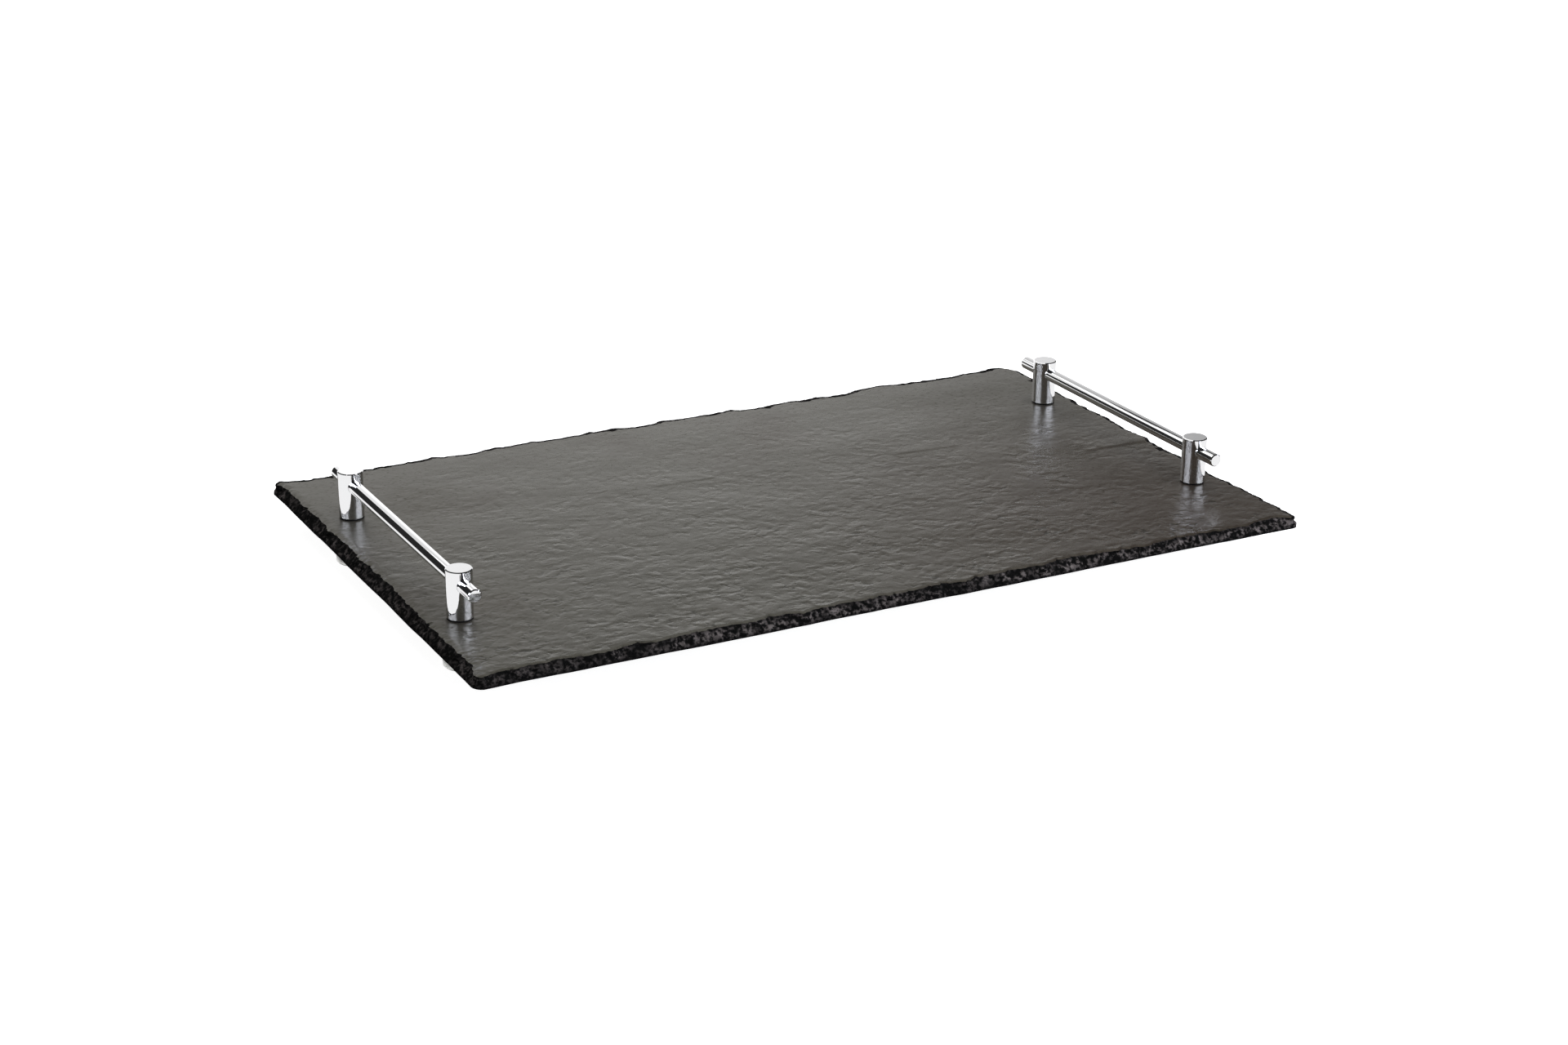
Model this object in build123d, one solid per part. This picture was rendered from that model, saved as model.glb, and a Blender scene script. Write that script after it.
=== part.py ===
from build123d import *
import math
import os
import random

# Slate serving board: one split slate plate with a hand-dressed edge, a bar handle at each short
# side, and a screw-on foot under each handle post. One screw at each post clamps foot, slate,
# gasket and post together, and a grub screw above it in the same thread locks the rail.
#
# All sizes are in millimetres. +X runs along the board to the right, +Y to the rear, +Z up.
# The origin is on the table, under the middle of the board.

# Driving dimensions: slate plate
board_length = 530.0
board_width = 325.0
slate_thickness = 7.0
slate_hole_diameter = 6.0

# Driving dimensions: dressed edge of the slate
edge_land = 2.2  # square lower part of the edge, below the flake scars
chip_pitch = 17.0  # mean length of one flake scar along the edge
chip_unevenness = 0.32  # share of the pitch by which a scar's end may lie off its even place
front_chip_reach = 3.9  # mean distance that a side's scars run in over the top face
right_chip_reach = 2.3
rear_chip_reach = 3.3
left_chip_reach = 3.7
front_reach_spread = 2.6  # most by which one scar's reach differs from its side's mean
right_reach_spread = 1.4
rear_reach_spread = 2.9
left_reach_spread = 1.1
corner_chip_reach = 1.5  # where two sides meet
least_chip_bite = 0.4  # hollow of a scar's upper edge between its two ends
most_chip_bite = 1.5
edge_waver = 0.4  # most that the lower edge strays in from its straight line
corner_radius = 5.0  # of the top face's corners; the lower edge's are larger by the reach there
worn_corner_radius = 18.0  # of the right rear corner, which is broken off rounder
dressing_seed = 11  # picks one run of hammer strokes

# Driving dimensions: handle posts and rails
post_diameter = 15.0
post_height = 28.0
post_edge_inset = 23.6  # from the board's short edge to the post's axis
post_spacing = 168.0  # between the two posts of one handle
post_edge_break = 0.5
rail_diameter = 8.0
rail_height = 19.7  # from the post's foot to the rail's axis
rail_overhang = 22.5  # from the post's axis to the rail's end
rail_edge_break = 0.6
rail_clearance = 0.05  # radial, between the rail and its bore

# Driving dimensions: gaskets and feet
gasket_thickness = 1.0
gasket_setback = 0.3  # radial, from the post's rim to the gasket's rim
foot_diameter = 20.5
foot_height = 21.0
foot_edge_break = 1.2
foot_recess_diameter = 12.0
foot_recess_depth = 12.0

# Driving dimensions: fixings
thread_diameter = 5.0
thread_clearance = 0.05  # radial, between a thread and its tapped hole
screw_length = 25.0  # under the head
screw_clearance = 0.25  # radial, round the shank in the foot and the washer
screw_head_diameter = 9.5
screw_head_height = 2.75
screw_crown_break = 1.4
screw_socket_across_flats = 3.0
screw_socket_depth = 1.6
thread_point_chamfer = 0.6
washer_diameter = 10.0
washer_thickness = 1.0
grub_length = 6.0
grub_socket_across_flats = 2.5
grub_socket_depth = 2.4
grub_cup_diameter = 2.6
grub_cup_depth = 0.8

# Heights and places that follow from the sizes above
slate_top = foot_height + slate_thickness
post_base = slate_top + gasket_thickness
rail_axis = post_base + rail_height
screw_seat = foot_recess_depth - washer_thickness
grub_tip = rail_axis - rail_diameter / 2 - rail_clearance
post_x = board_length / 2 - post_edge_inset
post_y = post_spacing / 2

SIDES = {"left": -1, "right": 1}
ENDS = {"front": -1, "rear": 1}
ON_BASE = (Align.CENTER, Align.CENTER, Align.MIN)
HANGING = (Align.CENTER, Align.CENTER, Align.MAX)


def dressing_strokes():
    """Walks once round the board and returns one flake scar after another.

    Each scar is (lower point, upper point, lower bow, upper bow). It runs from its own points to
    those of the next scar, and a bow is the vector by which the middle of that edge stands off
    the straight line: hollowed in along a side, and swelled out round a corner.
    """
    strike = random.Random(dressing_seed)
    straight = Vector(0, 0, 0)
    reaches = (front_chip_reach, right_chip_reach, rear_chip_reach, left_chip_reach)
    spreads = (front_reach_spread, right_reach_spread, rear_reach_spread, left_reach_spread)
    far_radii = (corner_radius, worn_corner_radius, corner_radius, corner_radius)
    scars = []
    for quarter, (side_reach, side_spread) in enumerate(zip(reaches, spreads)):
        if quarter % 2 == 0:
            side_length, side_distance = board_length, board_width / 2
        else:
            side_length, side_distance = board_width, board_length / 2
        along = Vector(1, 0, 0).rotate(Axis.Z, 90 * quarter)
        inward = Vector(0, 1, 0).rotate(Axis.Z, 90 * quarter)
        near_run = far_radii[quarter - 1] + corner_chip_reach
        far_run = far_radii[quarter] + corner_chip_reach
        start = along * (near_run - side_length / 2) - inward * side_distance
        run = side_length - near_run - far_run
        count = max(3, round(run / chip_pitch))
        for stroke in range(count):
            drift, waver, reach = 0, 0, corner_chip_reach
            if stroke > 0:
                drift = strike.uniform(-chip_unevenness, chip_unevenness)
                waver = strike.uniform(0, edge_waver)
                reach = side_reach + strike.uniform(-side_spread, side_spread)
            lower = start + along * (run * (stroke + drift) / count) + inward * waver
            upper = lower + inward * reach
            bite = inward * strike.uniform(least_chip_bite, most_chip_bite)
            scars.append((lower, upper, straight, bite))
        lower = start + along * run
        upper = lower + inward * corner_chip_reach
        swell = (along - inward).normalized() * (1 - math.sqrt(0.5))
        scars.append((lower, upper, swell * far_run, swell * far_radii[quarter]))
    return scars


def bowed_edge(start, end, bow):
    """The edge from start to end, straight or with its middle off the straight line by the bow."""
    if bow.length == 0:
        return Line(start, end)
    return ThreePointArc(start, (start + end) / 2 + bow, end)


def slate_board():
    """The slate plate: a square lower land, then one ruled flake scar for each dressing stroke."""
    scars = dressing_strokes()
    lower_edges = []
    upper_edges = []
    for (lower, upper, lower_bow, upper_bow), following in zip(scars, scars[1:] + scars[:1]):
        lower_edges.append(bowed_edge(lower, following[0], lower_bow))
        upper_edges.append(bowed_edge(upper, following[1], upper_bow))
    lower_face = make_face(lower_edges)
    upper_face = make_face(upper_edges)
    sections = [
        Pos(0, 0, foot_height) * lower_face,
        Pos(0, 0, foot_height + edge_land) * lower_face,
        Pos(0, 0, slate_top) * upper_face,
    ]
    plate = loft(sections, ruled=True)
    hole = Cylinder(slate_hole_diameter / 2, slate_thickness, align=ON_BASE)
    for x, y in post_places().values():
        plate -= Pos(x, y, foot_height) * hole
    return plate


def handle_post():
    """A turned post: cross bore for the rail, tapped hole up the middle from its foot."""
    post = Cylinder(post_diameter / 2, post_height, align=ON_BASE)
    top_rim = post.edges().filter_by(GeomType.CIRCLE).sort_by(Axis.Z)[-1]
    post = chamfer(top_rim, post_edge_break)
    rail_bore = Rot(90, 0, 0) * Cylinder(rail_diameter / 2 + rail_clearance, post_diameter)
    tapped_hole = Cylinder(thread_diameter / 2 + thread_clearance, rail_height, align=ON_BASE)
    return post - Pos(0, 0, rail_height) * rail_bore - tapped_hole


def handle_rail():
    """A round bar along Y, through both posts and out past them, with broken end edges."""
    rail = Cylinder(rail_diameter / 2, post_spacing + 2 * rail_overhang)
    rims = rail.edges().filter_by(GeomType.CIRCLE)
    return Rot(90, 0, 0) * chamfer(rims, rail_edge_break)


def post_gasket():
    """A flat rubber ring that keeps the metal post off the stone."""
    ring = Cylinder(post_diameter / 2 - gasket_setback, gasket_thickness, align=ON_BASE)
    return ring - Cylinder(slate_hole_diameter / 2, gasket_thickness, align=ON_BASE)


def foot():
    """A moulded foot with a deep recess from below for the screw head and its washer."""
    body = Cylinder(foot_diameter / 2, foot_height, align=ON_BASE)
    bottom_rim = body.edges().filter_by(GeomType.CIRCLE).sort_by(Axis.Z)[0]
    body = chamfer(bottom_rim, foot_edge_break)
    recess = Cylinder(foot_recess_diameter / 2, foot_recess_depth, align=ON_BASE)
    shank_hole = Cylinder(thread_diameter / 2 + screw_clearance, foot_height, align=ON_BASE)
    return body - recess - shank_hole


def foot_washer():
    """A flat washer on the roof of the foot's recess."""
    disc = Cylinder(washer_diameter / 2, washer_thickness, align=ON_BASE)
    return disc - Cylinder(thread_diameter / 2 + screw_clearance, washer_thickness, align=ON_BASE)


def hex_socket(across_flats, depth):
    """A hexagonal key socket that opens downward at the origin."""
    return extrude(RegularPolygon(across_flats / 2, 6, major_radius=False), depth)


def fixing_screw():
    """A button-head screw, pointing up, with the seat under its head at the origin."""
    head = Cylinder(screw_head_diameter / 2, screw_head_height, align=HANGING)
    crown_rim = head.edges().filter_by(GeomType.CIRCLE).sort_by(Axis.Z)[0]
    head = chamfer(crown_rim, screw_crown_break)
    shank = Cylinder(thread_diameter / 2, screw_length, align=ON_BASE)
    point_rim = shank.edges().filter_by(GeomType.CIRCLE).sort_by(Axis.Z)[-1]
    shank = chamfer(point_rim, thread_point_chamfer)
    socket = hex_socket(screw_socket_across_flats, screw_socket_depth)
    return head + shank - Pos(0, 0, -screw_head_height) * socket


def grub_screw():
    """A cup-point grub screw, point up, with its point at the origin and its socket below."""
    body = Cylinder(thread_diameter / 2, grub_length, align=HANGING)
    point_rim = body.edges().filter_by(GeomType.CIRCLE).sort_by(Axis.Z)[-1]
    body = chamfer(point_rim, thread_point_chamfer)
    cup = Cone(0, grub_cup_diameter / 2, grub_cup_depth, align=HANGING)
    socket = hex_socket(grub_socket_across_flats, grub_socket_depth)
    return body - cup - Pos(0, 0, -grub_length) * socket


def post_places():
    """The (x, y) of each post's axis, by the station's name."""
    return {
        f"{side}_{end}": (side_sign * post_x, end_sign * post_y)
        for side, side_sign in SIDES.items()
        for end, end_sign in ENDS.items()
    }


def assembly():
    """Every piece in its place, by node name."""
    pieces = {"slate_board": slate_board()}
    for side, side_sign in SIDES.items():
        pieces[f"{side}_rail"] = Pos(side_sign * post_x, 0, rail_axis) * handle_rail()
    stack = {
        "foot": (foot(), 0),
        "washer": (foot_washer(), screw_seat),
        "screw": (fixing_screw(), screw_seat),
        "gasket": (post_gasket(), slate_top),
        "post": (handle_post(), post_base),
        "grub_screw": (grub_screw(), grub_tip),
    }
    for station, (x, y) in post_places().items():
        for name, (piece, height) in stack.items():
            pieces[f"{station}_{name}"] = Pos(x, y, height) * piece
    return pieces


os.makedirs("parts", exist_ok=True)
for node, piece in assembly().items():
    export_step(piece, f"parts/{node}.step")
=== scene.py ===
"""Dresses the slate serving board: a split slate plate, two chromed bar handles and four screwed feet.

Lengths in the classes are millimetres, as a maker would give them, and MM turns them to Blender's metres.
"""

import logging
import math
from dataclasses import dataclass, field
from enum import Enum
from typing import ClassVar

import bpy
import numpy as np
from mathutils import Matrix, Vector


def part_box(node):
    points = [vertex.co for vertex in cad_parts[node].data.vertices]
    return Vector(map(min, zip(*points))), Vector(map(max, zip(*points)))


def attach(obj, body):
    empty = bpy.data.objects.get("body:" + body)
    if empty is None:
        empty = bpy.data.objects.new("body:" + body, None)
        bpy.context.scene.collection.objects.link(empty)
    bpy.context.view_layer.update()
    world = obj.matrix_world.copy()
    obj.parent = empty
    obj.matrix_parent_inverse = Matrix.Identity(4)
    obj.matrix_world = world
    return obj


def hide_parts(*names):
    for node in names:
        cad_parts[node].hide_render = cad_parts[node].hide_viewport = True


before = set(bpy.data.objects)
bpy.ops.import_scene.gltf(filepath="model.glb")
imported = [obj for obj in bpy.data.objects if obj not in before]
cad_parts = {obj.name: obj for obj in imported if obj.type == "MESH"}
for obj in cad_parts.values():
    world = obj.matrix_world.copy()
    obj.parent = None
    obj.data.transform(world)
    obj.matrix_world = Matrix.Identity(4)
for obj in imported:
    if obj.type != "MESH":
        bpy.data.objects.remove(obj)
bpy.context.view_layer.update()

MM = 0.001
BODY = "root"
WHITE = "#FFFFFF"

# A Mix node's sockets by number, because those for colours and for plain numbers share their names
COLOUR_A, COLOUR_B, COLOUR_OUT = 6, 7, 2
LEVEL_A, LEVEL_B = 2, 3

Array = np.ndarray
Colour = tuple[float, float, float, float]
Key = str | int
Span = tuple[float, float]
Place = tuple[float, float, float]
Tree = bpy.types.NodeTree
Socket = bpy.types.NodeSocket
Piece = bpy.types.Object

log = logging.getLogger("slate_serving_board")


class Side(Enum):
    """The two short sides of the board, each with its own handle."""

    LEFT = "left"
    RIGHT = "right"


class End(Enum):
    """The two ends of a handle."""

    FRONT = "front"
    REAR = "rear"


class Face(Enum):
    """The two kinds of surface on the slate plate, by material slot number."""

    SPLIT = 0
    DRESSED = 1


class Shows(Enum):
    """Where a lamp or a bright card shows."""

    AS_LIGHT = "as light, and mirrored in nothing"
    IN_GLOSS = "mirrored only"
    IN_CHROME = "mirrored in the chromed pieces only"
    BY_WAY_OF_CHROME = "mirrored in the stone, but only as the chrome shows the stone"


class Easing(Enum):
    """How a value goes over from one level to another, as a Map Range node calls it."""

    EVEN = "LINEAR"
    SMOOTH = "SMOOTHSTEP"


def linear(code: str) -> Colour:
    """Turns an sRGB hex colour to linear light.

    Args:
        code: six hex digits after a hash sign.

    Returns:
        Linear red, green and blue, and an alpha of one.
    """
    shares = [int(code[place:place + 2], 16) / 255 for place in (1, 3, 5)]
    red, green, blue = (c / 12.92 if c <= 0.04045 else ((c + 0.055) / 1.055) ** 2.4 for c in shares)
    return (red, green, blue, 1.0)


def per_metre(size: float) -> float:
    """Gives the texture scale at which a pattern repeats about once in a size in millimetres."""
    return 1 / (size * MM)


def add_node(
    tree: Tree, kind: str, settings: dict[Key, object] | None = None, links: dict[Key, Socket] | None = None,
) -> bpy.types.Node:
    """Adds one node with its settings and its incoming links.

    Args:
        tree: the node tree that takes the node.
        kind: the node's class name without its leading ShaderNode.
        settings: values by property name, or by input name or number.
        links: output sockets of other nodes by input name or number.

    Returns:
        The new node.
    """
    node = tree.nodes.new("ShaderNode" + kind)
    for key, value in (settings or {}).items():
        if isinstance(key, str) and hasattr(node, key):
            setattr(node, key, value)
        else:
            node.inputs[key].default_value = value
    for key, socket in (links or {}).items():
        tree.links.new(socket, node.inputs[key])
    return node


def smooth_step(value: Array, low: float, high: float) -> Array:
    """Eases from 0 at a low value to 1 at a high one."""
    share = np.clip((value - low) / (high - low), 0, 1)
    return share * share * (3 - 2 * share)


class LatticeNoise:
    """Seeded smooth noise on a plane, between about -1 and 1."""

    CELLS = 256
    GAIN = 1.5  # brings the noise up to about -1 to 1

    def __init__(self, seed: int) -> None:
        """Draws one slope for each lattice point."""
        turns = np.random.default_rng(seed).uniform(0, 2 * np.pi, (self.CELLS, self.CELLS))
        self.slopes = np.stack([np.cos(turns), np.sin(turns)], -1)

    @staticmethod
    def ease(share: Array) -> Array:
        """Eases from 0 to 1 across a cell, level and unbent at both of its borders."""
        return share * share * share * (share * (share * 6 - 15) + 10)

    def at(self, u: Array, v: Array) -> Array:
        """Reads the noise.

        Args:
            u: first coordinates, in lattice cells.
            v: second coordinates, in lattice cells.

        Returns:
            One value for each pair of coordinates.
        """
        column, row = np.floor(u).astype(int), np.floor(v).astype(int)
        a, b = u - column, v - row

        def corner(right: int, up: int) -> Array:
            """Ramp of one of the cell's corners."""
            slope = self.slopes[(column + right) % self.CELLS, (row + up) % self.CELLS]
            return slope[..., 0] * (a - right) + slope[..., 1] * (b - up)

        ease_a, ease_b = self.ease(a), self.ease(b)
        lower = corner(0, 0) * (1 - ease_a) + corner(1, 0) * ease_a
        upper = corner(0, 1) * (1 - ease_a) + corner(1, 1) * ease_a
        return self.GAIN * (lower * (1 - ease_b) + upper * ease_b)


@dataclass(frozen=True)
class Fade:
    """A share that goes over from one level to another between two places on an axis."""

    axis: str
    start: float
    end: float
    first: float
    last: float
    easing: Easing = Easing.SMOOTH

    def scale(self, tree: Tree, place: Socket, level: Socket) -> Socket:
        """Adds the nodes that scale a level by the share.

        Args:
            tree: the node tree that takes the nodes.
            place: the socket that gives the place.
            level: the socket that gives the level.

        Returns:
            The socket that gives the scaled level.
        """
        along = add_node(tree, "SeparateXYZ", links={0: place}).outputs[self.axis]
        share = add_node(
            tree, "MapRange",
            {
                "interpolation_type": self.easing.value,
                "From Min": self.start * MM,
                "From Max": self.end * MM,
                "To Min": self.first,
                "To Max": self.last,
            },
            {"Value": along},
        ).outputs[0]
        return add_node(tree, "Math", {"operation": "MULTIPLY"}, {0: level, 1: share}).outputs[0]


@dataclass(frozen=True)
class Finish:
    """What a piece's surface is made of; each kind of finish adds its own nodes."""

    name: str

    def surface(self, tree: Tree) -> Socket:
        """Adds the finish's nodes to a tree and returns the shader socket that comes out of them."""
        raise NotImplementedError

    def material(self) -> bpy.types.Material:
        """Makes the finish once.

        Returns:
            The material, the same one each time.
        """
        made = bpy.data.materials.get(self.name)
        if made:
            return made
        made = bpy.data.materials.new(self.name)
        made.use_nodes = True
        made.node_tree.nodes.clear()
        shader = self.surface(made.node_tree)
        add_node(made.node_tree, "OutputMaterial", links={"Surface": shader})
        return made


@dataclass(frozen=True)
class SplitSlate(Finish):
    """Slate split by chisel along its cleavage and rubbed with oil.

    The oil leaves a dark, slightly warm grey with a satin shine that gets strong at a low angle. The
    cleavage shows as small ragged hollows, and the sharper of them have painted shade in their bottoms. One
    end is weathered and browner, and the stone round the posts is duller.
    """

    name: str = "oiled_split_slate"
    dark: str = "#363530"
    light: str = "#43413C"
    rust: str = "#2F2924"
    painted_notch_shade_colour: str = "#12120F"  # painted shade colour in the notches' bottoms
    roughness: float = 0.25
    roughness_spread: float = 0.06
    ior: float = 1.52
    specular: float = 0.17  # of a thin film of oil
    sheen_tint: str = "#FFF2D2"  # of the oil film
    dimple_size: Span = (8.0, 7.0)  # mm along the plate and across it
    dimple_depth: float = 0.39  # mm
    dimple_rim: Span = (0.3, 0.7)  # values of the noise at a dimple's floor and at its rim
    dimple_detail: float = 0.5  # how ragged the dimples are
    notch_size: Span = (5.0, 4.2)  # mm along the plate and across it
    notch_depth: float = 0.18  # mm
    notch_rim: Span = (0.3, 0.5)  # values of the noise at a notch's floor and at its rim
    notch_detail: float = 1.0  # how ragged the notches are
    painted_notch_shade_share: float = 0.6  # share of the painted shade colour in a notch's bottom
    painted_notch_shade_span: Span = (0.25, 0.9)  # shares of a notch's depth where the painted shade starts and is full
    patch_size: float = 26.0  # mm across one patch of rougher or calmer stone
    patch_span: Span = (0.35, 0.65)  # values of the noise in the calmest and in the roughest patches
    calm: float = 0.25  # share of the hollows' depth that is left in the calmest patches
    rear_calm: Fade = Fade("Y", -140.0, 140.0, 1.0, 0.2, Easing.EVEN)  # of the hollows' depth
    grain_size: float = 1.8  # mm
    grain_depth: float = 0.013  # mm
    pit_size: Span = (3.0, 1.7)  # mm along the plate and across it
    pit_span: Span = (0.55, 0.75)  # values of the noise at a pit's rim and at its bottom
    pit_roughness: float = 0.2  # that a dull pit adds
    cloud_size: float = 46.0  # mm across one cloud of tone
    gloss_span: Span = (0.3, 0.7)  # values of the clouds' noise where the stone is shiniest and dullest
    rust_size: float = 110.0  # mm across one rusty stain
    rust_span: Span = (0.52, 0.72)  # values of the noise at a stain's rim and at its middle
    rust_share: float = 0.45  # of the rusty colour in the middle of a stain
    weathered_place: Place = (190.0, -120.0, 28.0)
    weathered_reach: float = 300.0  # mm
    post_place: Place = (241.4, 84.0, 28.0)  # of the right rear post; the others mirror it
    post_reach: float = 125.0  # mm round a post that the oiling cloth hardly gets to
    post_roughness: float = 0.12  # that the stone there adds

    def hollows(self, tree: Tree, place: Socket, size: Span, rim: Span, detail: float) -> Socket:
        """Adds ragged hollows, longer along the plate than across it, and calmer in patches and to the rear.

        Args:
            tree: the finish's node tree.
            place: the socket that gives the place on the plate.
            size: length and width of one hollow in millimetres.
            rim: values of the noise at a hollow's floor and at its rim.
            detail: how ragged the hollows are.

        Returns:
            The socket that gives the depth, from 0 around a hollow to 1 at most in it.
        """
        scale = (*map(per_metre, size), 1)
        cells = add_node(tree, "Mapping", {"Scale": scale}, {"Vector": place}).outputs[0]
        sheet = add_node(
            tree, "TexNoise", {"Scale": 1.0, "Detail": detail, "Roughness": 0.6, "Distortion": 0.4},
            {"Vector": cells},
        ).outputs["Fac"]
        hollow = add_node(
            tree, "MapRange",
            {
                "interpolation_type": Easing.SMOOTH.value,
                "From Min": rim[0],
                "From Max": rim[1],
                "To Min": 1.0,
                "To Max": 0.0,
            },
            {"Value": sheet},
        ).outputs[0]
        patch = add_node(
            tree, "TexNoise", {"Scale": per_metre(self.patch_size), "Detail": 2}, {"Vector": place},
        ).outputs["Fac"]
        calmest, roughest = self.patch_span
        share = add_node(
            tree, "MapRange", {"From Min": calmest, "From Max": roughest, "To Min": self.calm},
            {"Value": patch},
        ).outputs[0]
        depth = add_node(tree, "Math", {"operation": "MULTIPLY"}, {0: hollow, 1: share}).outputs[0]
        return self.rear_calm.scale(tree, place, depth)

    def near(self, tree: Tree, place: Socket, centre: Place, reach: float, most: float) -> Socket:
        """Adds a value that is highest at a centre and fades to none.

        Args:
            tree: the finish's node tree.
            place: the socket that gives the place on the plate.
            centre: where the value is highest, in millimetres.
            reach: how far from there it has faded to none, in millimetres.
            most: the value at the centre.

        Returns:
            The socket that gives the value.
        """
        middle = tuple(length * MM for length in centre)
        away = add_node(
            tree, "VectorMath", {"operation": "DISTANCE", 1: middle}, {0: place},
        ).outputs["Value"]
        return add_node(
            tree, "MapRange",
            {
                "interpolation_type": Easing.SMOOTH.value,
                "From Min": 0.0,
                "From Max": reach * MM,
                "To Min": most,
                "To Max": 0.0,
            },
            {"Value": away},
        ).outputs[0]

    def tone(self, tree: Tree, place: Socket, cloud: Socket) -> Socket:
        """Adds the colour: clouds of tone, rusty stains and the weathered end.

        Args:
            tree: the finish's node tree.
            place: the socket that gives the place on the plate.
            cloud: the socket that gives the clouds.

        Returns:
            The socket that gives the colour.
        """
        clouded = add_node(
            tree, "Mix",
            {"data_type": "RGBA", COLOUR_A: linear(self.dark), COLOUR_B: linear(self.light)}, {0: cloud},
        ).outputs[COLOUR_OUT]
        stain = add_node(
            tree, "TexNoise", {"Scale": per_metre(self.rust_size), "Detail": 3, "Roughness": 0.5},
            {"Vector": place},
        ).outputs["Fac"]
        stained = add_node(
            tree, "MapRange",
            {
                "interpolation_type": Easing.SMOOTH.value,
                "From Min": self.rust_span[0],
                "From Max": self.rust_span[1],
                "To Max": self.rust_share,
            },
            {"Value": stain},
        ).outputs[0]
        weathered = self.near(tree, place, self.weathered_place, self.weathered_reach, 1.0)
        rusty = add_node(tree, "Math", {"operation": "MAXIMUM"}, {0: stained, 1: weathered}).outputs[0]
        return add_node(
            tree, "Mix", {"data_type": "RGBA", COLOUR_B: linear(self.rust)}, {0: rusty, COLOUR_A: clouded},
        ).outputs[COLOUR_OUT]

    def gloss(self, tree: Tree, place: Socket, cloud: Socket) -> Socket:
        """Adds the roughness: shinier and duller clouds, dull pits and the dull stone round the posts.

        Args:
            tree: the finish's node tree.
            place: the socket that gives the place on the plate.
            cloud: the socket that gives the clouds.

        Returns:
            The socket that gives the roughness.
        """
        gloss = add_node(
            tree, "MapRange",
            {
                "From Min": self.gloss_span[0],
                "From Max": self.gloss_span[1],
                "To Min": self.roughness - self.roughness_spread,
                "To Max": self.roughness + self.roughness_spread,
            },
            {"Value": cloud},
        ).outputs[0]
        scale = (*map(per_metre, self.pit_size), 1)
        cells = add_node(tree, "Mapping", {"Scale": scale}, {"Vector": place}).outputs[0]
        pits = add_node(tree, "TexNoise", {"Scale": 1.0, "Detail": 1}, {"Vector": cells}).outputs["Fac"]
        dull = add_node(
            tree, "MapRange",
            {
                "interpolation_type": Easing.SMOOTH.value,
                "From Min": self.pit_span[0],
                "From Max": self.pit_span[1],
                "To Max": self.pit_roughness,
            },
            {"Value": pits},
        ).outputs[0]
        mirrored = add_node(tree, "VectorMath", {"operation": "ABSOLUTE"}, {0: place}).outputs[0]
        unoiled = self.near(tree, mirrored, self.post_place, self.post_reach, self.post_roughness)
        for duller in (dull, unoiled):
            gloss = add_node(tree, "Math", {"operation": "ADD"}, {0: gloss, 1: duller}).outputs[0]
        return gloss

    def surface(self, tree: Tree) -> Socket:
        """Adds grain, notches and dimples to the tone and the gloss, and paints shade into the notches'
        bottoms.

        Args:
            tree: the finish's node tree.

        Returns:
            The shader socket.
        """
        place = add_node(tree, "TexCoord").outputs["Object"]
        cloud = add_node(
            tree, "TexNoise", {"Scale": per_metre(self.cloud_size), "Detail": 5, "Roughness": 0.62},
            {"Vector": place},
        ).outputs["Fac"]
        grain = add_node(
            tree, "TexNoise", {"Scale": per_metre(self.grain_size), "Detail": 2, "Roughness": 0.6},
            {"Vector": place},
        ).outputs["Fac"]
        relief = add_node(
            tree, "Bump", {"Strength": 1.0, "Distance": self.grain_depth * MM}, {"Height": grain},
        ).outputs[0]
        notches = self.hollows(tree, place, self.notch_size, self.notch_rim, self.notch_detail)
        dimples = self.hollows(tree, place, self.dimple_size, self.dimple_rim, self.dimple_detail)
        for hollow, depth in ((notches, self.notch_depth), (dimples, self.dimple_depth)):
            relief = add_node(
                tree, "Bump", {"invert": True, "Strength": 1.0, "Distance": depth * MM},
                {"Height": hollow, "Normal": relief},
            ).outputs[0]
        # Painted shade: the colour darkens towards the bottoms of the notches
        painted_shade_mask = add_node(
            tree, "MapRange",
            {
                "interpolation_type": Easing.SMOOTH.value,
                "From Min": self.painted_notch_shade_span[0],
                "From Max": self.painted_notch_shade_span[1],
                "To Max": self.painted_notch_shade_share,
            },
            {"Value": notches},
        ).outputs[0]
        colour = add_node(
            tree, "Mix", {"data_type": "RGBA", COLOUR_B: linear(self.painted_notch_shade_colour)},
            {0: painted_shade_mask, COLOUR_A: self.tone(tree, place, cloud)},
        ).outputs[COLOUR_OUT]
        return add_node(
            tree, "BsdfPrincipled",
            {"IOR": self.ior, "Specular IOR Level": self.specular, "Specular Tint": linear(self.sheen_tint)},
            {"Base Color": colour, "Roughness": self.gloss(tree, place, cloud), "Normal": relief},
        ).outputs[0]


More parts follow.
